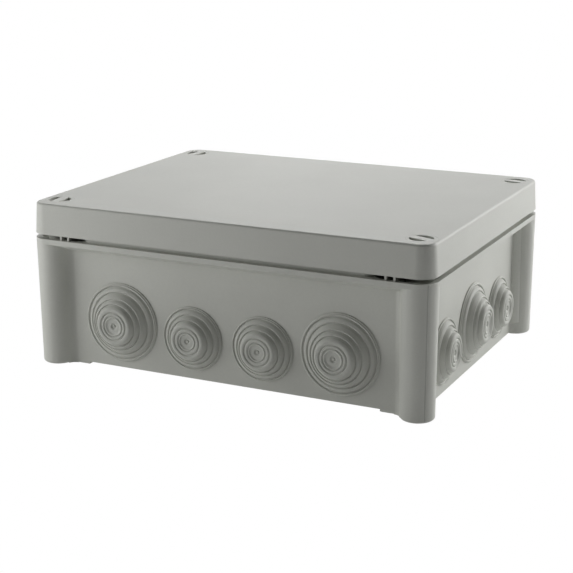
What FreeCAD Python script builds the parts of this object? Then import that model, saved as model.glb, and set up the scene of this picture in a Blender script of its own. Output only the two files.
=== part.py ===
"""Surface-mounted weatherproof junction box: base, lift-off lid, seal, quarter-turn screws, stepped entries.

Frame: +X along the long side, +Y to the rear, +Z up through the lid.
The origin is the centre of the footprint, on the plane that the feet stand on. Units are millimetres.
"""

import FreeCAD, Part
import math
import os

# ---- overall size
LENGTH = 220.0
WIDTH = 170.0
HEIGHT = 86.0
HALF_X = LENGTH / 2
HALF_Y = WIDTH / 2
CORNER_RADIUS = 9.0
WALL = 2.5

# ---- levels of the base
BACK_Z = 1.5
FLOOR_Z = BACK_Z + WALL
RIM_Z = 67.6
RIM_BAND = 2.6
RIM_FLARE = 4.0
FLARE_BEND = 2.0
BAND_Z = RIM_Z - RIM_BAND
FLARE_Z = BAND_Z - RIM_FLARE
WALL_RECESS = 8.8
WALL_X = HALF_X - WALL_RECESS
WALL_Y = HALF_Y - WALL_RECESS
CAVITY_X = WALL_X - WALL
CAVITY_Y = WALL_Y - WALL
CAVITY_BEND = 1.0

# ---- corner columns and feet
COLUMN_FOOT_RADIUS = 8.4
COLUMN_BLEND = 4.0
FOOT_ROUND = 1.4
PAD_INNER_X = 82.1
PAD_ROUND = 0.8
POCKET_FLOOR_Z = 8.0
POCKET_FLARE_LAG = 1.0
OVERLAP = 1.0
TINY = 0.01

# ---- sealing line: a rectangle whose four corners are notched round the screw posts
SEAL_X = HALF_X - 3.0
SEAL_Y = HALF_Y - 3.0
NOTCH_X = 27.0
NOTCH_Y = 20.0
SEAL_BEND = 5.0
TONGUE_WIDTH = 2.0
TONGUE_TOP_Z = 73.0
GROOVE_GAP = 0.5
GASKET_GAP = 0.2
GASKET_TOP_Z = 76.0

# ---- lid
LID_Z = 70.0
LID_DRAFT = 1.0
LID_EDGE_ROUND = 1.3
LID_PLATE = 2.8
LID_UNDER_Z = HEIGHT - LID_PLATE
LID_RIB = 1.5
LID_RIB_Z = 70.8

# ---- quarter-turn screws and their posts
SCREW_X = 99.5
SCREW_Y = 71.5
HEAD_RADIUS = 7.2
HEAD_HEIGHT = 3.4
HEAD_SINK = 0.2
HEAD_GAP = 0.3
HEAD_RIM = 0.9
GRIP_WIDTH = 3.6
GRIP_DEPTH = 1.9
SHANK_RADIUS = 3.0
SHANK_GAP = 0.05
WING_REACH = 4.6
WING_WIDTH = 3.0
WING_HEIGHT = 2.5
WING_Z = 55.0
POST_RADIUS = 6.6
POST_TOP_Z = 70.3
SOCKET_RADIUS = 5.2
SOCKET_FLOOR_Z = 50.0
LEDGE_Z = 58.0
LEDGE_HEIGHT = 2.5
LEDGE_SLOT_RADIUS = 5.0
LEDGE_HUB_RADIUS = 3.5
LEDGE_SLOT_HALF_ANGLE = 50.0

# ---- wall fixings, guide ribs and inner bosses
FIXING_X = 88.0
FIXING_Y = 67.5
FIXING_RADIUS = 2.6
GUIDE_RIBS_X = (87.0, 91.4)
GUIDE_RIB_WIDTH = 1.1
GUIDE_RIB_BACK = 2.0
GUIDE_RIB_FRONT_Y = HALF_Y - 1.2
GUIDE_RIB_LOW_Z = 57.2
GUIDE_RIB_TOP_Z = LID_Z - 0.1
BOSS_X = 60.0
BOSS_Y = 40.0
BOSS_RADIUS = 4.5
BOSS_TOP_Z = FLOOR_Z + 4.0
PILOT_RADIUS = 1.6

# ---- cable entries: name, distance along the wall, size
LONG_SIDE = (
    ("large_left", -61.2, "large"),
    ("small_left", -19.6, "small"),
    ("small_right", 19.6, "small"),
    ("large_right", 61.2, "large"),
)
SHORT_SIDE = (
    ("small_front", -41.6, "small"),
    ("large_middle", 0.0, "large"),
    ("small_rear", 41.6, "small"),
)
SNAP_BEAD = 1.1
ENTRY_GAP = 0.1

# Each size: height of its centre, radius of its neck, radius of its flange, the radii of the grooves
# between its steps, the height of each step at its outer and inner edge, and the radii of the thin
# rings on its flat top. Heights are measured outwards from the wall.
ENTRIES = {
    "large": {
        "centre_z": 25.8,
        "neck": 14.1,
        "flange": 20.9,
        "grooves": (19.1, 16.2, 13.2, 10.9),
        "steps": ((1.7, 2.5), (3.3, 5.2), (6.0, 6.9), (8.0, 8.8)),
        "rings": (7.2, 5.3),
    },
    "small": {
        "centre_z": 22.7,
        "neck": 11.3,
        "flange": 16.7,
        "grooves": (15.4, 12.7, 10.4),
        "steps": ((1.6, 2.6), (3.5, 4.7), (5.8, 6.5)),
        "rings": (7.0, 4.8),
    },
}
FLANGE_HEIGHT = 1.1
GROOVE_DEPTH = 0.4
GROOVE_HALF = 0.4
SKIN = 1.3
DIMPLE_DEPTH = 0.8
DIMPLE_RADIUS = 2.0

UP = FreeCAD.Vector(0, 0, 1)
CORNERS = {
    "front_left": (-1, -1),
    "front_right": (1, -1),
    "rear_left": (-1, 1),
    "rear_right": (1, 1),
}
# Direction of each post's slot, and where its screw's grip stands when released, in degrees from +X
SLOT_ANGLE = {"front_left": 90, "front_right": 0, "rear_left": 90, "rear_right": 0}
GRIP_ANGLE = {"front_left": 97, "front_right": -20, "rear_left": 82, "rear_right": -12}


def vec(x, y, z=0.0):
    return FreeCAD.Vector(x, y, z)


def cylinder(radius, x, y, z0, z1):
    return Part.makeCylinder(radius, z1 - z0, vec(x, y, z0))


def block(x0, x1, y0, y1, z0, z1):
    return Part.makeBox(x1 - x0, y1 - y0, z1 - z0, vec(x0, y0, z0))


def rounded_wire(points, z, convex, concave=None):
    """A closed counter-clockwise outline with an arc at each corner: one radius outside, one inside."""
    edges = []
    count = len(points)
    starts = []
    for i, (x, y) in enumerate(points):
        here = vec(x, y, z)
        to_last = (vec(*points[i - 1], z) - here).normalize()
        to_next = (vec(*points[(i + 1) % count], z) - here).normalize()
        outside = to_next.cross(to_last).z > 0
        radius = convex if outside or concave is None else concave
        half = to_last.getAngle(to_next) / 2
        run = radius / math.tan(half)
        middle = here + (to_last + to_next).normalize() * (radius / math.sin(half) - radius)
        starts.append((here + to_last * run, middle, here + to_next * run))
    for i, (begin, middle, end) in enumerate(starts):
        edges.append(Part.Arc(begin, middle, end).toShape())
        edges.append(Part.LineSegment(end, starts[(i + 1) % count][0]).toShape())
    return Part.Wire(edges)


def rectangle_wire(half_x, half_y, radius, z):
    corners = [(-half_x, -half_y), (half_x, -half_y), (half_x, half_y), (-half_x, half_y)]
    return rounded_wire(corners, z, radius)


def plate(half_x, half_y, radius, z0, z1):
    face = Part.Face(rectangle_wire(half_x, half_y, radius, z0))
    return face.extrude(vec(0, 0, z1 - z0))


def tapered(lower, upper):
    """A solid between two rounded rectangles, each given as half_x, half_y, radius, z."""
    wires = [rectangle_wire(*lower), rectangle_wire(*upper)]
    return Part.makeLoft(wires, True, True)


def notched(x, y, inner_x, inner_y, convex, concave, z0, z1):
    """A prism on a rectangle of half sizes x and y, whose corners are notched in to inner_x and inner_y."""
    points = [
        (-inner_x, -y), (inner_x, -y), (inner_x, -inner_y), (x, -inner_y),
        (x, inner_y), (inner_x, inner_y), (inner_x, y), (-inner_x, y),
        (-inner_x, inner_y), (-x, inner_y), (-x, -inner_y), (-inner_x, -inner_y),
    ]
    wire = rounded_wire(points, z0, convex, concave)
    return Part.Face(wire).extrude(vec(0, 0, z1 - z0))


def seal_prism(offset, z0, z1):
    """A prism inside the sealing line, grown outwards by offset."""
    inner_x = SEAL_X - NOTCH_X + offset
    inner_y = SEAL_Y - NOTCH_Y + offset
    bends = (SEAL_BEND + offset, SEAL_BEND - offset)
    return notched(SEAL_X + offset, SEAL_Y + offset, inner_x, inner_y, *bends, z0, z1)


def seal_ring(outer, inner, z0, z1):
    """A band that follows the sealing line, between two offsets from it."""
    return seal_prism(outer, z0, z1).cut(seal_prism(inner, z0, z1))


def mirrored(shape, sign_x, sign_y):
    """A shape drawn for the +X +Y corner, moved to the corner with these signs."""
    result = shape
    if sign_x < 0:
        result = result.mirror(vec(0, 0), vec(1, 0))
    if sign_y < 0:
        result = result.mirror(vec(0, 0), vec(0, 1))
    return result


def one_solid(shape):
    """The single solid of a finished boolean, with its seams merged."""
    solids = shape.removeSplitter().Solids
    if len(solids) != 1:
        raise ValueError("expected one solid, found %d" % len(solids))
    return solids[0]


# ---- base


def column(sign_x, sign_y):
    """A slightly conical corner column with a rounded foot."""
    x = sign_x * (HALF_X - CORNER_RADIUS)
    y = sign_y * (HALF_Y - CORNER_RADIUS)
    cone = Part.makeCone(COLUMN_FOOT_RADIUS, CORNER_RADIUS, BAND_Z, vec(x, y))
    foot = [e for e in cone.Edges if e.Closed and e.CenterOfMass.z < TINY]
    return cone.makeFillet(FOOT_ROUND, foot)


def blend_wire(radius, along_x, wall, z):
    """The corner between a column of this radius and a wall, filled out to a concave arc.

    along_x is true for the long walls. It is drawn for the +X +Y column.
    """
    centre = (HALF_X - CORNER_RADIUS, HALF_Y - CORNER_RADIUS)
    if not along_x:
        centre = centre[::-1]
    rise = wall + COLUMN_BLEND - centre[1]
    reach = math.sqrt((radius + COLUMN_BLEND) ** 2 - rise**2)
    arc_x = centre[0] - reach
    arc_y = wall + COLUMN_BLEND
    share = radius / (radius + COLUMN_BLEND)
    on_column = (centre[0] - reach * share, centre[1] + rise * share)
    lean = math.atan2(on_column[1] - arc_y, on_column[0] - arc_x)
    half_way = (lean - math.pi / 2) / 2
    middle = (arc_x + COLUMN_BLEND * math.cos(half_way), arc_y + COLUMN_BLEND * math.sin(half_way))
    points = [(arc_x, wall - OVERLAP), (arc_x, wall), middle, on_column, centre]
    if not along_x:
        points = [point[::-1] for point in points]
    low, begin, mid, end, back = [vec(x, y, z) for x, y in points]
    edges = [Part.LineSegment(low, begin), Part.Arc(begin, mid, end)]
    edges += [Part.LineSegment(end, back), Part.LineSegment(back, low)]
    return Part.Wire([edge.toShape() for edge in edges])


def column_blends():
    """The two concave blends between the +X +Y column and its walls."""
    blends = []
    for along_x, wall, low_z in ((True, WALL_Y, 0.0), (False, WALL_X, BACK_Z)):
        wires = [
            blend_wire(COLUMN_FOOT_RADIUS, along_x, wall, low_z),
            blend_wire(CORNER_RADIUS, along_x, wall, BAND_Z),
        ]
        blends.append(Part.makeLoft(wires, True, True))
    return blends


def pad():
    """The low foot beside the +X +Y column, under the wall fixing."""
    foot = block(PAD_INNER_X, CAVITY_X, SCREW_Y - HEAD_RADIUS, WALL_Y, 0, BACK_Z + OVERLAP)
    edges = [e for e in foot.Edges if e.BoundBox.ZMax < TINY and e.BoundBox.XMin < CAVITY_X - OVERLAP]
    return foot.makeFillet(PAD_ROUND, edges)


def base_outside():
    body = plate(WALL_X, WALL_Y, CORNER_RADIUS - WALL, BACK_Z, BAND_Z)
    flare = tapered((WALL_X, WALL_Y, FLARE_BEND, FLARE_Z), (HALF_X, HALF_Y, CORNER_RADIUS, BAND_Z))
    body = body.fuse([flare, plate(HALF_X, HALF_Y, CORNER_RADIUS, BAND_Z, RIM_Z)])
    for sign_x, sign_y in CORNERS.values():
        extras = [mirrored(extra, sign_x, sign_y) for extra in [pad()] + column_blends()]
        body = body.fuse([column(sign_x, sign_y)] + extras)
    return body


def corner_pocket():
    """The open well behind the +X +Y column, outside the seal: it holds the screw post and a wall fixing."""
    low_x = SEAL_X - NOTCH_X
    low_y = SEAL_Y - NOTCH_Y
    flare_low = FLARE_Z + POCKET_FLARE_LAG

    def outline(high_x, high_y, z):
        corners = [(low_x, low_y), (high_x, low_y), (high_x, high_y), (low_x, high_y)]
        return rounded_wire(corners, z, SEAL_BEND)

    rim_wires = [outline(CAVITY_X, CAVITY_Y, flare_low), outline(HALF_X - WALL, HALF_Y - WALL, RIM_Z)]
    mouth = Part.makeLoft(rim_wires, True, True)
    well_floor = Part.Face(outline(CAVITY_X, CAVITY_Y, POCKET_FLOOR_Z))
    well = well_floor.extrude(vec(0, 0, flare_low - POCKET_FLOOR_Z))
    centre = (HALF_X - CORNER_RADIUS, HALF_Y - CORNER_RADIUS)
    inside_column = cylinder(COLUMN_FOOT_RADIUS - WALL, *centre, POCKET_FLOOR_Z, flare_low)
    return well.fuse([mouth, inside_column])


def screw_socket(slot_angle):
    """The hollow of a post: a bore, a ledge with a two-lobed slot, and the room where the wing turns."""
    bore = cylinder(SOCKET_RADIUS, SCREW_X, SCREW_Y, LEDGE_Z + LEDGE_HEIGHT, POST_TOP_Z)
    room = cylinder(SOCKET_RADIUS, SCREW_X, SCREW_Y, SOCKET_FLOOR_Z, LEDGE_Z)
    hub = cylinder(LEDGE_HUB_RADIUS, SCREW_X, SCREW_Y, LEDGE_Z, LEDGE_Z + LEDGE_HEIGHT)
    lobes = []
    foot = vec(SCREW_X, SCREW_Y, LEDGE_Z)
    for side in (0, 180):
        lobe = Part.makeCylinder(LEDGE_SLOT_RADIUS, LEDGE_HEIGHT, foot, UP, 2 * LEDGE_SLOT_HALF_ANGLE)
        lobe.rotate(vec(SCREW_X, SCREW_Y), UP, slot_angle + side - LEDGE_SLOT_HALF_ANGLE)
        lobes.append(lobe)
    return bore.fuse([room, hub] + lobes)


def guide_ribs():
    """Two thin ribs that flank the wall fixing's driver path, behind the rim."""
    ribs = []
    back = CAVITY_Y - GUIDE_RIB_BACK
    for x in GUIDE_RIBS_X:
        left = x - GUIDE_RIB_WIDTH / 2
        right = x + GUIDE_RIB_WIDTH / 2
        ribs.append(block(left, right, back, GUIDE_RIB_FRONT_Y, BAND_Z, GUIDE_RIB_TOP_Z))
        ribs.append(block(left, right, back, CAVITY_Y + OVERLAP, GUIDE_RIB_LOW_Z, BAND_Z))
    return ribs


def inner_boss(sign_x, sign_y):
    return cylinder(BOSS_RADIUS, sign_x * BOSS_X, sign_y * BOSS_Y, BACK_Z + OVERLAP, BOSS_TOP_Z)


def base_shell():
    body = base_outside()
    inner_x = SEAL_X - NOTCH_X - WALL
    inner_y = SEAL_Y - NOTCH_Y - WALL
    bends = (CAVITY_BEND, WALL + SEAL_BEND)
    body = body.cut(notched(CAVITY_X, CAVITY_Y, inner_x, inner_y, *bends, FLOOR_Z, RIM_Z + OVERLAP))
    body = body.fuse(seal_ring(0, -TONGUE_WIDTH, RIM_Z - OVERLAP, TONGUE_TOP_Z))
    post = cylinder(POST_RADIUS, SCREW_X, SCREW_Y, POCKET_FLOOR_Z - OVERLAP, POST_TOP_Z)
    for name, (sign_x, sign_y) in CORNERS.items():
        angle = SLOT_ANGLE[name]
        body = body.cut(mirrored(corner_pocket(), sign_x, sign_y))
        body = body.fuse([mirrored(part, sign_x, sign_y) for part in [post] + guide_ribs()])
        body = body.cut(mirrored(screw_socket(angle), sign_x, sign_y))
        fixing = (sign_x * FIXING_X, sign_y * FIXING_Y)
        pilot = (sign_x * BOSS_X, sign_y * BOSS_Y)
        body = body.cut(cylinder(FIXING_RADIUS, *fixing, -OVERLAP, POCKET_FLOOR_Z + OVERLAP))
        body = body.fuse(inner_boss(sign_x, sign_y))
        body = body.cut(cylinder(PILOT_RADIUS, *pilot, FLOOR_Z, BOSS_TOP_Z + OVERLAP))
    for place in entry_places().values():
        size = ENTRIES[place["size"]]
        hole = Part.makeCylinder(size["neck"] + ENTRY_GAP, 4 * WALL, vec(0, 0, -3 * WALL))
        body = body.cut(on_wall(hole, place))
    return one_solid(body)


# ---- lid, seal and screws


def lid():
    top = (HALF_X - LID_DRAFT, HALF_Y - LID_DRAFT, CORNER_RADIUS - LID_DRAFT, HEIGHT)
    outside = tapered((HALF_X, HALF_Y, CORNER_RADIUS, LID_Z), top)
    edge = [e for e in outside.Edges if e.BoundBox.ZMin > HEIGHT - TINY]
    outside = outside.makeFillet(LID_EDGE_ROUND, edge)
    inner_radius = CORNER_RADIUS - WALL
    hollow = tapered(
        (HALF_X - WALL, HALF_Y - WALL, inner_radius, LID_Z),
        (HALF_X - LID_DRAFT - WALL, HALF_Y - LID_DRAFT - WALL, inner_radius - LID_DRAFT, LID_UNDER_Z),
    )
    body = outside.cut(hollow)
    inner_face = -TONGUE_WIDTH - GROOVE_GAP
    channel = seal_ring(GROOVE_GAP + LID_RIB, inner_face - LID_RIB, LID_RIB_Z, LID_UNDER_Z + OVERLAP)
    body = body.fuse(channel.common(outside))
    body = body.cut(seal_ring(GROOVE_GAP, inner_face, LID_Z - OVERLAP, GASKET_TOP_Z))
    head_seat_z = HEIGHT - HEAD_SINK - HEAD_HEIGHT
    for sign_x, sign_y in CORNERS.values():
        x = sign_x * SCREW_X
        y = sign_y * SCREW_Y
        cup = cylinder(HEAD_RADIUS + HEAD_GAP + LID_RIB, x, y, head_seat_z - WALL, LID_UNDER_Z + OVERLAP)
        tube = cylinder(POST_RADIUS, x, y, POST_TOP_Z, LID_UNDER_Z)
        body = body.fuse([cup.common(outside), tube])
        body = body.cut(cylinder(HEAD_RADIUS + HEAD_GAP, x, y, head_seat_z, HEIGHT + OVERLAP))
        body = body.cut(cylinder(SHANK_RADIUS + SHANK_GAP, x, y, POST_TOP_Z - OVERLAP, head_seat_z))
    return one_solid(body)


def gasket():
    outer = GROOVE_GAP - GASKET_GAP
    inner = -TONGUE_WIDTH - GROOVE_GAP + GASKET_GAP
    return one_solid(seal_ring(outer, inner, TONGUE_TOP_Z, GASKET_TOP_Z))


def lid_screw(corner):
    """A flush head with two half-round recesses that leave a grip bar, a shank, and a wing at its foot."""
    top = HEIGHT - HEAD_SINK
    head = cylinder(HEAD_RADIUS, 0, 0, top - HEAD_HEIGHT, top)
    recess = cylinder(HEAD_RADIUS - HEAD_RIM, 0, 0, top - GRIP_DEPTH, top + OVERLAP)
    half_grip = GRIP_WIDTH / 2
    grip = block(-HEAD_RADIUS, HEAD_RADIUS, -half_grip, half_grip, top - GRIP_DEPTH, top + OVERLAP)
    shank = cylinder(SHANK_RADIUS, 0, 0, WING_Z, top - HEAD_HEIGHT)
    wing = block(-WING_REACH, WING_REACH, -WING_WIDTH / 2, WING_WIDTH / 2, WING_Z, WING_Z + WING_HEIGHT)
    wing = wing.common(cylinder(WING_REACH, 0, 0, WING_Z, WING_Z + WING_HEIGHT))
    screw = one_solid(head.cut(recess.cut(grip)).fuse([shank, wing]))
    screw.rotate(vec(0, 0), UP, GRIP_ANGLE[corner])
    sign_x, sign_y = CORNERS[corner]
    screw.translate(vec(sign_x * SCREW_X, sign_y * SCREW_Y))
    return screw


# ---- cable entries


def entry_places():
    """Every entry's name, with its point on the wall's outside, its size, and the direction it faces."""
    places = {}
    for wall, turn, sign in (("front", 0, -1), ("rear", 180, 1)):
        for name, along, size in LONG_SIDE:
            point = vec(along, sign * WALL_Y, ENTRIES[size]["centre_z"])
            places["entry_%s_%s" % (wall, name)] = {"point": point, "turn": turn, "size": size}
    for wall, turn, sign in (("left", 270, -1), ("right", 90, 1)):
        for name, along, size in SHORT_SIDE:
            point = vec(sign * WALL_X, along, ENTRIES[size]["centre_z"])
            places["entry_%s_%s" % (wall, name)] = {"point": point, "turn": turn, "size": size}
    return places


def on_wall(shape, place):
    """A shape drawn along +Z, turned to face out of its wall and moved to its point."""
    result = shape.copy()
    result.rotate(vec(0, 0), vec(1, 0), 90)
    result.rotate(vec(0, 0), UP, place["turn"])
    result.translate(place["point"])
    return result


def entry_profile(size):
    """The closed half-section of a stepped entry, as radius and height above the wall's outside."""
    outside = [(size["neck"], 0), (size["flange"], 0), (size["flange"], FLANGE_HEIGHT / 2)]
    height = FLANGE_HEIGHT
    outside.append((size["flange"] - FLANGE_HEIGHT / 2, height))
    for groove, (outer_height, inner_height) in zip(size["grooves"], size["steps"]):
        outside.append((groove + GROOVE_HALF, height))
        outside.append((groove, height - GROOVE_DEPTH))
        outside.append((groove - GROOVE_HALF, outer_height))
        height = inner_height
    outside.append((size["grooves"][-1] - 3 * GROOVE_HALF, height))
    for ring in size["rings"]:
        outside.append((ring + GROOVE_HALF, height))
        outside.append((ring, height - GROOVE_DEPTH))
        outside.append((ring - GROOVE_HALF, height))
    outside.append((DIMPLE_RADIUS, height - DIMPLE_DEPTH))
    outside.append((0, height - DIMPLE_DEPTH))
    inside = [(0, height - DIMPLE_DEPTH - SKIN)]
    neck_bore = size["neck"] - SKIN
    for groove, (outer_height, _) in reversed(list(zip(size["grooves"], size["steps"]))):
        radius = groove - GROOVE_HALF - SKIN
        if radius < neck_bore:
            inside.append((radius, outer_height - SKIN))
    back = -WALL - 2 * SNAP_BEAD
    bead = size["neck"] + SNAP_BEAD
    inside += [(neck_bore, 0), (neck_bore, back), (size["neck"], back), (bead, back + SNAP_BEAD)]
    inside += [(bead, -WALL), (size["neck"], -WALL)]
    return outside + inside


def cable_entry(place):
    corners = [vec(radius, 0, height) for radius, height in entry_profile(ENTRIES[place["size"]])]
    section = Part.Face(Part.makePolygon(corners + corners[:1]))
    solid = section.revolve(vec(0, 0), UP, 360)
    return on_wall(one_solid(solid), place)


def all_nodes():
    nodes = {"base_shell": base_shell(), "lid": lid(), "lid_gasket": gasket()}
    for corner in CORNERS:
        nodes["lid_screw_" + corner] = lid_screw(corner)
    for name, place in entry_places().items():
        nodes[name] = cable_entry(place)
    return nodes


os.makedirs("parts", exist_ok=True)
for node_name, node_shape in all_nodes().items():
    if not node_shape.isValid():
        raise ValueError("%s isn't a valid solid" % node_name)
    node_shape.exportStep("parts/%s.step" % node_name)
    print(node_name, round(node_shape.Volume / 1000, 2), "cm3")
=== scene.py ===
"""The looks of the junction box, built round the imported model. Metres, in the row frame.

The base, the lid and the seal are the model's own meshes with their sharp edges eased. The cable entries
and the lid screws are new pieces, turned or cut here with finer edges than the model's.
"""

import math

import bmesh
import bpy
from mathutils import Matrix, Vector


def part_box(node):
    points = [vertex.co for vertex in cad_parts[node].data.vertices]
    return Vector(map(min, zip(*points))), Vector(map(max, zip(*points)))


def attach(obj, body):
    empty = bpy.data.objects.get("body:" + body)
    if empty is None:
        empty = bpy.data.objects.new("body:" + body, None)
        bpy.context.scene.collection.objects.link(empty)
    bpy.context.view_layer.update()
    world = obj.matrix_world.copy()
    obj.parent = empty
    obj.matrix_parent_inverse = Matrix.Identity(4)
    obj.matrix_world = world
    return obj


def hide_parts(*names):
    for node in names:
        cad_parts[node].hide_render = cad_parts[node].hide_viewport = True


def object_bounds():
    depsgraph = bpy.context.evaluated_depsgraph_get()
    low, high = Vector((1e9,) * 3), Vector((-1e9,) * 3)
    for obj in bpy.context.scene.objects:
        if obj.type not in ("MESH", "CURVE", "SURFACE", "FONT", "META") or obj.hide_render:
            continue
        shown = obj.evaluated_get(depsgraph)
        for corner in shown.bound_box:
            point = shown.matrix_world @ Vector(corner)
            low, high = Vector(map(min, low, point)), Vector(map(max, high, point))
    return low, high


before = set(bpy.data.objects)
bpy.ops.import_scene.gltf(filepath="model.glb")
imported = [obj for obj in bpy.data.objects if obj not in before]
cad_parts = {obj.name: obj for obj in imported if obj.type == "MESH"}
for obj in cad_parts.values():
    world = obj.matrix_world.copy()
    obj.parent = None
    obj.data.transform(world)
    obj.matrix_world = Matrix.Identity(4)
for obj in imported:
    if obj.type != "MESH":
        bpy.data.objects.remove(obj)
CAD_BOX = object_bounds()
MM = 0.001

# ---- colours, linear
SHELL_GREY = (0.560, 0.568, 0.524)
LID_GREY = (0.565, 0.573, 0.530)
ENTRY_GREY = (0.520, 0.528, 0.486)
SEAL_BLACK = (0.030, 0.030, 0.031)
WHITE = (1.0, 1.0, 1.0)

# ---- the parting line up the corner columns: where |x| - |y| is this, on the outer face beyond this |x|
CORNER_OFFSET = CAD_BOX[1][0] - CAD_BOX[1][1]
COLUMN_FROM = CAD_BOX[1][0] - 5.5 * MM
LINE_HALF = 0.18 * MM
LINE_HEIGHT = 0.15 * MM
# painted shade: the colour on the parting line is darkened to this share; the line's real relief is the bump of
# LINE_HEIGHT
PARTING_LINE_PAINTED_SHADE = 0.80

# ---- surface grain: noise scales in cycles per metre, and how far the sheen varies
CLOUD_SCALE = 22
SPECK_SCALE = 900
RUB_SCALE = 60
GRAIN_SCALE = 1600
WAVE_SCALE = 45
WAVE_SHARE = 0.3
SPECK_SPREAD = 0.015
SHEEN_SPREAD = 0.01
BLOOM_SCALE = 70
DUST_SCALE = 1500
DULL_SCALE = 120
SKIN_GRAIN_SCALE = 2600
SKIN_GRAIN_DEPTH = 0.012 * MM
DULL_SPREAD = 0.05

# ---- eased edges of the model's own meshes
WELD_DISTANCE = 0.005 * MM
FLAT_ANGLE = math.radians(0.6)
SHARP_ANGLE = math.radians(32)
SHELL_EASE = 0.30 * MM
LID_EASE = 0.25 * MM
SEAL_EASE = 0.40 * MM

# ---- cable entries, millimetres: ENTRY_SIZES are the part's own, and the steps and rings are cut finer here
TURN_STEPS = 80
ARC_STEPS = 4
WALL = 2.5
SNAP_BEAD = 1.1
SKIN = 1.3
GROOVE_HALF = 0.6
RISER_RUN = 0.85
GROOVE_DEPTH = 0.85
RING_HALF = 0.62
RING_DEPTH = 0.65
STEP_ROUND = 1.1
CREST_ROUND = 0.8
TOP_EDGE = 0.9
GROOVE_ROUND = 0.5
DISH_DEPTH = 0.6
PIT_RADIUS = 1.8
PIT_DEPTH = 0.8
NIPPLE_RADIUS = 0.65
ENTRY_SIZES = {
    "large": {
        "neck": 14.1,
        "flange": 20.9,
        "grooves": (19.1, 16.2, 13.2, 10.9),
        "steps": ((1.7, 2.5), (3.3, 5.2), (6.0, 6.9), (8.0, 8.8)),
        "rings": (7.2, 5.3),
    },
    "small": {
        "neck": 11.3,
        "flange": 16.7,
        "grooves": (15.4, 12.7, 10.4),
        "steps": ((1.6, 2.6), (3.5, 4.7), (5.8, 6.5)),
        "rings": (7.0, 4.8),
    },
}
FLANGE_LIP = 0.55
FLANGE_HEIGHT = 1.2
ENTRY_SPIN = 37
WALL_TURN = {"front": 0, "right": 90, "rear": 180, "left": 270}

# ---- lid screws, millimetres
HEAD_HEIGHT = 3.4
HEAD_EDGE = 0.12
HEAD_GROWTH = 0.25
HEAD_RISE = 0.2 * MM
RECESS_RADIUS = 5.8
RECESS_DEPTH = 1.2
GRIP_HALF = 2.2
SHANK_RADIUS = 3.0
SHANK_EDGE = 0.3
WING_REACH = 4.6
WING_HALF_WIDTH = 1.5
WING_HEIGHT = 2.5
SCREW_EASE = 0.2
SCREW_STEPS = 72
WING_STEPS = 6
GRIP_ANGLE = {"front_left": 97, "front_right": -20, "rear_left": 82, "rear_right": -12}

# ---- camera, degrees and metres
AZIMUTH = 26.10
ELEVATION = 15.84
ROLL = -0.28
DISTANCE = 0.76623
AIM_HEIGHT = 0.043
AIM_SHIFT = (-0.00390, -0.00991)
LENS = 89.36
SENSOR = 36.0

# ---- studio: each light's name, place, aim, width, height and power
FLOOR_REACH = 3.0
FLOOR_DROP = -0.2 * MM
FLOOR_WHITE = (0.8, 0.8, 0.8)
FLOOR_ROUGHNESS = 0.9
FLOOR_GLOW = 0.22
WORLD_LIGHT = 0.015
LIGHTS = (
    ("right_rear", (0.80, 1.00, 0.40), (0, 0, 0.04), 0.6, 0.6, 11.5),
    ("left_near", (-0.42, -0.30, 0.16), (-0.1, -0.08, 0.04), 0.3, 0.3, 1.05),
    ("rear_high", (0, 1.2, 0.6), (0, 0, 0.06), 1.4, 0.5, 7.4),
    ("rear_left", (-0.8, 0.8, 0.6), (0, 0, 0.06), 0.8, 0.5, 3.4),
    ("overhead", (0, 0.15, 1.3), (0, 0, 0), 1.8, 1.4, 2.6),
)


# ---- shader helpers


def new_material(name):
    material = bpy.data.materials.new(name)
    material.use_nodes = True
    nodes = material.node_tree.nodes
    nodes.clear()
    shader = nodes.new("ShaderNodeBsdfPrincipled")
    output = nodes.new("ShaderNodeOutputMaterial")
    material.node_tree.links.new(shader.outputs["BSDF"], output.inputs["Surface"])
    return material, nodes, material.node_tree.links, shader


def noise(nodes, links, where, scale, detail, roughness):
    """A noise texture read at this point, with its grain set by scale, in cycles per metre."""
    texture = nodes.new("ShaderNodeTexNoise")
    texture.inputs["Scale"].default_value = scale
    texture.inputs["Detail"].default_value = detail
    texture.inputs["Roughness"].default_value = roughness
    links.new(where, texture.inputs["Vector"])
    return texture.outputs["Fac"]


def spread(nodes, links, value, low, high, from_low=0.3, from_high=0.7):
    """Maps a noise value on to the range low to high."""
    mapping = nodes.new("ShaderNodeMapRange")
    mapping.inputs["From Min"].default_value = from_low
    mapping.inputs["From Max"].default_value = from_high
    mapping.inputs["To Min"].default_value = low
    mapping.inputs["To Max"].default_value = high
    links.new(value, mapping.inputs["Value"])
    return mapping.outputs["Result"]


def calculated(nodes, links, operation, first, second=0.0):
    """A Math node on one socket and, where the operation takes two, a second socket or a number."""
    node = nodes.new("ShaderNodeMath")
    node.operation = operation
    links.new(first, node.inputs[0])
    if isinstance(second, float):
        node.inputs[1].default_value = second
    else:
        links.new(second, node.inputs[1])
    return node.outputs["Value"]


def product(nodes, links, first, second):
    return calculated(nodes, links, "MULTIPLY", first, second)


def tinted(nodes, links, colour, amount):
    """A colour made lighter or darker by a factor that varies over the surface."""
    scale = nodes.new("ShaderNodeVectorMath")
    scale.operation = "SCALE"
    scale.inputs[0].default_value = colour
    links.new(amount, scale.inputs["Scale"])
    return scale.outputs["Vector"]


def bump(nodes, links, height, depth, strength, below=None):
    node = nodes.new("ShaderNodeBump")
    node.inputs["Strength"].default_value = strength
    node.inputs["Distance"].default_value = depth
    links.new(height, node.inputs["Height"])
    if below is not None:
        links.new(below, node.inputs["Normal"])
    return node.outputs["Normal"]


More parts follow.
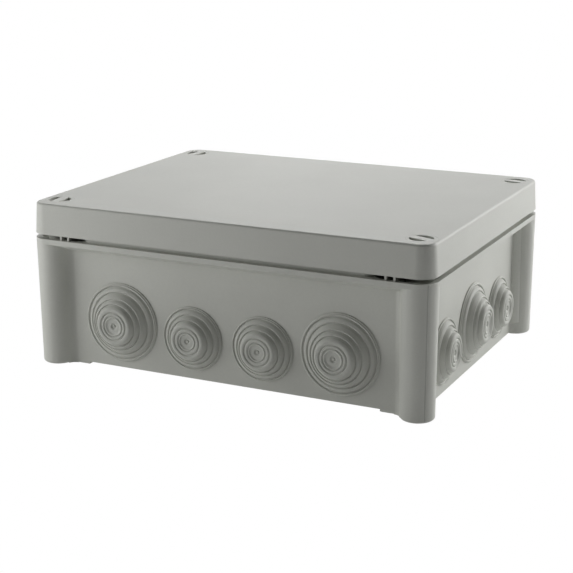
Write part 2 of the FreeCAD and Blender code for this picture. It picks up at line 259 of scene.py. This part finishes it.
def parting_line(nodes, links, where):
    """1 on the mould's parting line, which runs up the middle of each corner column, and 0 beside it."""
    split = nodes.new("ShaderNodeSeparateXYZ")
    links.new(where, split.inputs["Vector"])
    along_x = calculated(nodes, links, "ABSOLUTE", split.outputs["X"])
    along_y = calculated(nodes, links, "ABSOLUTE", split.outputs["Y"])
    off_line = calculated(nodes, links, "SUBTRACT", along_x, along_y)
    off_line = calculated(nodes, links, "SUBTRACT", off_line, CORNER_OFFSET)
    off_line = calculated(nodes, links, "ABSOLUTE", off_line)
    line = spread(nodes, links, off_line, 1, 0, LINE_HALF, 2 * LINE_HALF)
    on_column = calculated(nodes, links, "GREATER_THAN", along_x, COLUMN_FROM)
    return product(nodes, links, line, on_column)


def moulded_plastic(name, colour, roughness, grain_depth, cloud=0.03, parted=False):
    """Injection-moulded plastic: faint flow clouds, fine grain, a sheen that varies a little, and where parted a
    raised parting line with painted shade along it.
    """
    material, nodes, links, shader = new_material(name)
    where = nodes.new("ShaderNodeTexCoord").outputs["Object"]
    clouds = spread(nodes, links, noise(nodes, links, where, CLOUD_SCALE, 3, 0.5), 1 - cloud, 1 + cloud)
    fine = noise(nodes, links, where, SPECK_SCALE, 2, 0.6)
    specks = spread(nodes, links, fine, 1 - SPECK_SPREAD, 1 + SPECK_SPREAD)
    tone = product(nodes, links, clouds, specks)
    if parted:
        line = parting_line(nodes, links, where)
        # painted shade along the parting line: its colour is darkened, on top of the real raised line bumped in
        # below
        tone = product(nodes, links, tone, spread(nodes, links, line, 1, PARTING_LINE_PAINTED_SHADE, 0, 1))
    links.new(tinted(nodes, links, colour, tone), shader.inputs["Base Color"])
    rubbed = noise(nodes, links, where, RUB_SCALE, 4, 0.6)
    sheen = spread(nodes, links, rubbed, roughness - SHEEN_SPREAD, roughness + SHEEN_SPREAD)
    links.new(sheen, shader.inputs["Roughness"])
    grain = bump(nodes, links, noise(nodes, links, where, GRAIN_SCALE, 2, 0.55), grain_depth, 0.5)
    waves = noise(nodes, links, where, WAVE_SCALE, 1, 0.4)
    surface = bump(nodes, links, waves, WAVE_SHARE * grain_depth, 0.3, grain)
    if parted:
        surface = bump(nodes, links, line, LINE_HEIGHT, 1, surface)
    links.new(surface, shader.inputs["Normal"])
    return material


def soft_rubber(name, colour, roughness):
    """Soft moulded rubber: matt, dusty in places, with a finer grain than the shell."""
    material, nodes, links, shader = new_material(name)
    where = nodes.new("ShaderNodeTexCoord").outputs["Object"]
    bloom = spread(nodes, links, noise(nodes, links, where, BLOOM_SCALE, 5, 0.65), 0.96, 1.05)
    specks = spread(nodes, links, noise(nodes, links, where, DUST_SCALE, 2, 0.5), 0.98, 1.02)
    tone = product(nodes, links, bloom, specks)
    links.new(tinted(nodes, links, colour, tone), shader.inputs["Base Color"])
    dull = noise(nodes, links, where, DULL_SCALE, 3, 0.5)
    sheen = spread(nodes, links, dull, roughness - DULL_SPREAD, roughness + DULL_SPREAD)
    links.new(sheen, shader.inputs["Roughness"])
    grain = bump(nodes, links, noise(nodes, links, where, SKIN_GRAIN_SCALE, 2, 0.6), SKIN_GRAIN_DEPTH, 0.5)
    links.new(grain, shader.inputs["Normal"])
    return material


# ---- mesh helpers


def soft_edges(obj, width):
    """Rounds a piece's sharp edges, and lets its large flat faces set the shading beside them."""
    ease = obj.modifiers.new("ease", "BEVEL")
    ease.width = width
    ease.segments = 2
    ease.limit_method = "ANGLE"
    ease.angle_limit = SHARP_ANGLE
    even = obj.modifiers.new("even", "WEIGHTED_NORMAL")
    even.mode = "FACE_AREA"
    even.weight = 100


def eased(obj, width):
    """Smooth shading, with this CAD mesh's sharp edges rounded by a small bevel."""
    for polygon in obj.data.polygons:
        polygon.use_smooth = True
    weld = obj.modifiers.new("weld", "WELD")
    weld.merge_threshold = WELD_DISTANCE
    flat = obj.modifiers.new("flatten", "DECIMATE")
    flat.decimate_type = "DISSOLVE"
    flat.angle_limit = FLAT_ANGLE
    soft_edges(obj, width)
    return obj


def paint(obj, material):
    obj.data.materials.clear()
    obj.data.materials.append(material)


def add_piece(name, mesh, place, body, replaced, material):
    """A new piece that stands for a CAD node and moves with its body."""
    mesh.transform(place)
    obj = bpy.data.objects.new(name, mesh)
    bpy.context.scene.collection.objects.link(obj)
    if not mesh.materials:
        mesh.materials.append(material)
    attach(obj, body)
    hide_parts(replaced)
    return obj


def rounded(corners):
    """A closed outline of (x, y, radius) corners, each replaced by an arc that fits between its neighbours."""
    outline = []
    for i, (x, y, radius) in enumerate(corners):
        here = Vector((x, y))
        to_last = Vector(corners[i - 1][:2]) - here
        to_next = Vector(corners[(i + 1) % len(corners)][:2]) - here
        half = to_last.angle(to_next) / 2
        if radius <= 0 or math.cos(half) < 0.02:
            outline.append((x, y))
            continue
        run = min(radius / math.tan(half), 0.45 * to_last.length, 0.45 * to_next.length)
        begin = here + to_last.normalized() * run
        end = here + to_next.normalized() * run
        for step in range(ARC_STEPS + 1):
            t = step / ARC_STEPS
            point = begin * (1 - t) ** 2 + here * 2 * t * (1 - t) + end * t**2
            outline.append((point.x, point.y))
    return outline


def turned(name, outline, steps):
    """A closed solid of revolution about Z, from a closed outline of (radius, height) in millimetres."""
    mesh = bmesh.new()
    rings = []
    for radius, height in outline:
        if radius < 1e-6:
            rings.append([mesh.verts.new((0, 0, height * MM))])
            continue
        ring = []
        for step in range(steps):
            angle = 2 * math.pi * step / steps
            spot = Vector((radius * math.cos(angle), radius * math.sin(angle), height))
            ring.append(mesh.verts.new(spot * MM))
        rings.append(ring)
    for i, ring in enumerate(rings):
        following = rings[(i + 1) % len(rings)]
        if len(ring) == 1 and len(following) == 1:
            continue
        for step in range(steps):
            beside = (step + 1) % steps
            corners = []
            for vertex in (ring[step % len(ring)], ring[beside % len(ring)]):
                if vertex not in corners:
                    corners.append(vertex)
            for vertex in (following[beside % len(following)], following[step % len(following)]):
                if vertex not in corners:
                    corners.append(vertex)
            mesh.faces.new(corners)
    bmesh.ops.recalc_face_normals(mesh, faces=mesh.faces)
    for face in mesh.faces:
        face.smooth = True
    made = bpy.data.meshes.new(name)
    mesh.to_mesh(made)
    mesh.free()
    return made


# ---- cable entries


def entry_outline(size):
    """The entry's half-section as (radius, height, rounding) corners, from its neck outwards and back inside."""
    neck = size["neck"]
    flange = size["flange"]
    bore = neck - SKIN
    corners = [
        (neck, 0, 0),
        (flange, 0, 0.1),
        (flange, FLANGE_LIP, 0.2),
        (flange - 0.55, FLANGE_LIP + 0.2, 0.15),
        (flange - 0.8, FLANGE_HEIGHT, 0.3),
    ]
    height = FLANGE_HEIGHT
    for groove, (outer_height, inner_height) in zip(size["grooves"], size["steps"]):
        corners.append((groove + GROOVE_HALF, height, CREST_ROUND))
        corners.append((groove, height - GROOVE_DEPTH, GROOVE_ROUND))
        corners.append((groove - RISER_RUN, outer_height, STEP_ROUND))
        height = inner_height
    corners.append((size["grooves"][-1] - RISER_RUN - TOP_EDGE, height, STEP_ROUND))
    for ring in size["rings"]:
        corners.append((ring + RING_HALF, height, 0.2))
        corners.append((ring, height - RING_DEPTH, 0.15))
        corners.append((ring - RING_HALF, height, 0.2))
    dish = height - DISH_DEPTH
    corners += [
        (2 * PIT_RADIUS, dish, 0.8),
        (PIT_RADIUS, dish, 0.25),
        (NIPPLE_RADIUS + 0.2, dish - PIT_DEPTH, 0.15),
        (NIPPLE_RADIUS, dish - PIT_DEPTH / 3, 0.2),
        (0, dish - PIT_DEPTH / 3, 0),
        (0, dish - PIT_DEPTH - SKIN, 0),
    ]
    for groove, (outer_height, _) in reversed(list(zip(size["grooves"], size["steps"]))):
        radius = groove - RISER_RUN - SKIN
        if radius < bore:
            corners.append((radius, outer_height - SKIN, 0.5))
    back = -WALL - 2 * SNAP_BEAD
    corners += [
        (bore, 0, 0.5),
        (bore, back, 0.2),
        (neck, back, 0.2),
        (neck + SNAP_BEAD, back + SNAP_BEAD, 0.3),
        (neck + SNAP_BEAD, -WALL, 0.1),
        (neck, -WALL, 0),
    ]
    return corners


def entry_place(node, wall, size):
    """Where an entry sits: its axis out of the wall, and its zero height on the wall's outside."""
    low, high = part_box(node)
    centre = (low + high) / 2
    top = size["steps"][-1][1] * MM
    outward = {"front": (0, -1), "rear": (0, 1), "left": (-1, 0), "right": (1, 0)}[wall]
    spot = Vector(centre)
    if outward[0]:
        spot.x = (high.x if outward[0] > 0 else low.x) - outward[0] * top
    else:
        spot.y = (high.y if outward[1] > 0 else low.y) - outward[1] * top
    stand = Matrix.Rotation(math.radians(WALL_TURN[wall]), 4, "Z") @ Matrix.Rotation(math.radians(90), 4, "X")
    return Matrix.Translation(spot) @ stand


def make_entries(material):
    meshes = {}
    for kind, size in ENTRY_SIZES.items():
        meshes[kind] = turned("entry_%s_mesh" % kind, rounded(entry_outline(size)), TURN_STEPS)
    count = 0
    for node in sorted(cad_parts):
        if not node.startswith("entry_"):
            continue
        wall = node.split("_")[1]
        kind = "large" if "large" in node else "small"
        spin = Matrix.Rotation(math.radians(ENTRY_SPIN * count), 4, "Z")
        place = entry_place(node, wall, ENTRY_SIZES[kind]) @ spin
        add_piece(node + "_soft", meshes[kind].copy(), place, "base", node, material)
        count += 1


# ---- lid screws


def prism(name, outline, low, high):
    """A straight-sided solid on a closed outline of (x, y), in millimetres."""
    mesh = bmesh.new()
    bottom = [mesh.verts.new((x * MM, y * MM, low * MM)) for x, y in outline]
    top = [mesh.verts.new((x * MM, y * MM, high * MM)) for x, y in outline]
    mesh.faces.new(bottom)
    mesh.faces.new(top)
    for i in range(len(outline)):
        j = (i + 1) % len(outline)
        mesh.faces.new((bottom[i], bottom[j], top[j], top[i]))
    bmesh.ops.recalc_face_normals(mesh, faces=mesh.faces)
    made = bpy.data.meshes.new(name)
    mesh.to_mesh(made)
    mesh.free()
    return made


def circle(radius, first, last, steps):
    points = []
    for step in range(steps + 1):
        angle = first + (last - first) * step / steps
        points.append((radius * math.cos(angle), radius * math.sin(angle)))
    return points


def combined(mesh, cutters):
    """The mesh after a chain of booleans, each an operation with the mesh that it uses."""
    scratch = [bpy.data.objects.new("scratch", mesh)]
    for operation, other in cutters:
        tool = bpy.data.objects.new("scratch", other)
        scratch.append(tool)
        step = scratch[0].modifiers.new("step", "BOOLEAN")
        step.operation = operation
        step.solver = "EXACT"
        step.object = tool
    for obj in scratch:
        bpy.context.scene.collection.objects.link(obj)
    graph = bpy.context.evaluated_depsgraph_get()
    result = bpy.data.meshes.new_from_object(scratch[0].evaluated_get(graph))
    for obj in scratch:
        bpy.data.objects.remove(obj)
    return result


def screw_mesh(length, head_radius):
    """A screw with its head's top at zero: crescent recesses, a shank, and a wing at its foot."""
    head = [
        (0, 0, 0),
        (head_radius, 0, HEAD_EDGE),
        (head_radius, -HEAD_HEIGHT, HEAD_EDGE),
        (SHANK_RADIUS, -HEAD_HEIGHT, SHANK_EDGE),
        (SHANK_RADIUS, -length, SHANK_EDGE),
        (0, -length, 0),
    ]
    body = turned("screw", rounded(head), SCREW_STEPS)
    lean = math.asin(GRIP_HALF / RECESS_RADIUS)
    changes = []
    for first in (lean, math.pi + lean):
        crescent = circle(RECESS_RADIUS, first, first + math.pi - 2 * lean, SCREW_STEPS // 2)
        changes.append(("DIFFERENCE", prism("recess", crescent, -RECESS_DEPTH, 1)))
    tip = math.asin(WING_HALF_WIDTH / WING_REACH)
    wing = circle(WING_REACH, -tip, tip, WING_STEPS)
    wing += circle(WING_REACH, math.pi - tip, math.pi + tip, WING_STEPS)
    changes.append(("UNION", prism("wing", wing, -length, -length + WING_HEIGHT)))
    return combined(body, changes)


def make_screws(material):
    for corner, angle in GRIP_ANGLE.items():
        node = "lid_screw_" + corner
        low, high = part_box(node)
        length = (high.z + HEAD_RISE - low.z) / MM
        head_radius = (high.x - low.x) / MM / 2 + HEAD_GROWTH
        mesh = screw_mesh(length, head_radius)
        for polygon in mesh.polygons:
            polygon.use_smooth = True
        middle = (low + high) / 2
        spot = (middle.x, middle.y, high.z + HEAD_RISE)
        place = Matrix.Translation(spot) @ Matrix.Rotation(math.radians(angle), 4, "Z")
        piece = add_piece(node + "_cut", mesh, place, "screw_" + corner, node, material)
        soft_edges(piece, SCREW_EASE * MM)


# ---- studio


def area_light(name, place, target, size_x, size_y, power):
    data = bpy.data.lights.new(name, "AREA")
    data.shape = "RECTANGLE"
    data.size = size_x
    data.size_y = size_y
    data.energy = power
    data.color = WHITE
    obj = bpy.data.objects.new(name, data)
    bpy.context.scene.collection.objects.link(obj)
    obj.location = place
    direction = Vector(target) - Vector(place)
    obj.rotation_euler = direction.to_track_quat("-Z", "Y").to_euler()
    return obj


def make_floor():
    """A plain white floor: a matt, faintly glowing surface to the lights, and pure white to look at."""
    mesh = bmesh.new()
    outline = [(-FLOOR_REACH, -FLOOR_REACH), (FLOOR_REACH, -FLOOR_REACH)]
    outline += [(FLOOR_REACH, FLOOR_REACH), (-FLOOR_REACH, FLOOR_REACH)]
    mesh.faces.new([mesh.verts.new((x, y, FLOOR_DROP)) for x, y in outline])
    made = bpy.data.meshes.new("floor")
    mesh.to_mesh(made)
    mesh.free()
    floor = bpy.data.objects.new("floor", made)
    bpy.context.scene.collection.objects.link(floor)
    material, nodes, links, shader = new_material("floor_white")
    shader.inputs["Base Color"].default_value = (*FLOOR_WHITE, 1)
    shader.inputs["Roughness"].default_value = FLOOR_ROUGHNESS
    shader.inputs["Emission Color"].default_value = (1, 1, 1, 1)
    shader.inputs["Emission Strength"].default_value = FLOOR_GLOW
    glow = nodes.new("ShaderNodeEmission")
    glow.inputs["Strength"].default_value = 1.0
    mix = nodes.new("ShaderNodeMixShader")
    links.new(nodes.new("ShaderNodeLightPath").outputs["Is Camera Ray"], mix.inputs["Fac"])
    links.new(shader.outputs["BSDF"], mix.inputs[1])
    links.new(glow.outputs["Emission"], mix.inputs[2])
    links.new(mix.outputs["Shader"], nodes["Material Output"].inputs["Surface"])
    made.materials.append(material)


def make_world():
    """A pale surround: white to look at, dimmer as a light."""
    world = bpy.data.worlds.new("studio")
    bpy.context.scene.world = world
    world.use_nodes = True
    nodes = world.node_tree.nodes
    links = world.node_tree.links
    nodes.clear()
    lit = nodes.new("ShaderNodeBackground")
    lit.inputs["Color"].default_value = (1, 1, 1, 1)
    lit.inputs["Strength"].default_value = WORLD_LIGHT
    seen = nodes.new("ShaderNodeBackground")
    seen.inputs["Color"].default_value = (1, 1, 1, 1)
    seen.inputs["Strength"].default_value = 1.0
    mix = nodes.new("ShaderNodeMixShader")
    output = nodes.new("ShaderNodeOutputWorld")
    links.new(nodes.new("ShaderNodeLightPath").outputs["Is Camera Ray"], mix.inputs["Fac"])
    links.new(lit.outputs["Background"], mix.inputs[1])
    links.new(seen.outputs["Background"], mix.inputs[2])
    links.new(mix.outputs["Shader"], output.inputs["Surface"])


def make_camera():
    azimuth = math.radians(AZIMUTH)
    elevation = math.radians(ELEVATION)
    roll = math.radians(ROLL)
    back = Vector((
        math.sin(azimuth) * math.cos(elevation),
        -math.cos(azimuth) * math.cos(elevation),
        math.sin(elevation),
    ))
    level = Vector((math.cos(azimuth), math.sin(azimuth), 0))
    upright = back.cross(level)
    right = level * math.cos(roll) + upright * math.sin(roll)
    up = upright * math.cos(roll) - level * math.sin(roll)
    eye = back * DISTANCE + right * AIM_SHIFT[0] + up * AIM_SHIFT[1] + Vector((0, 0, AIM_HEIGHT))
    data = bpy.data.cameras.new("camera")
    data.lens = LENS
    data.sensor_width = SENSOR
    data.clip_start = 0.01
    camera = bpy.data.objects.new("camera", data)
    bpy.context.scene.collection.objects.link(camera)
    turn = Matrix((right, up, back)).transposed().to_4x4()
    camera.matrix_world = Matrix.Translation(eye) @ turn
    bpy.context.scene.camera = camera


shell_plastic = moulded_plastic("shell_plastic", SHELL_GREY, 0.46, 0.02 * MM, parted=True)
lid_plastic = moulded_plastic("lid_plastic", LID_GREY, 0.52, 0.012 * MM, 0.02)
screw_plastic = moulded_plastic("screw_plastic", LID_GREY, 0.50, 0.01 * MM)
entry_rubber = soft_rubber("entry_rubber", ENTRY_GREY, 0.62)
seal_rubber = soft_rubber("seal_rubber", SEAL_BLACK, 0.75)

for node, ease_width, material in (
    ("base_shell", SHELL_EASE, shell_plastic),
    ("lid", LID_EASE, lid_plastic),
    ("lid_gasket", SEAL_EASE, seal_rubber),
):
    paint(eased(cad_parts[node], ease_width), material)
make_entries(entry_rubber)
make_screws(screw_plastic)

make_floor()
make_world()
for light in LIGHTS:
    area_light(*light)
make_camera()
bpy.context.scene.view_settings.view_transform = "Standard"
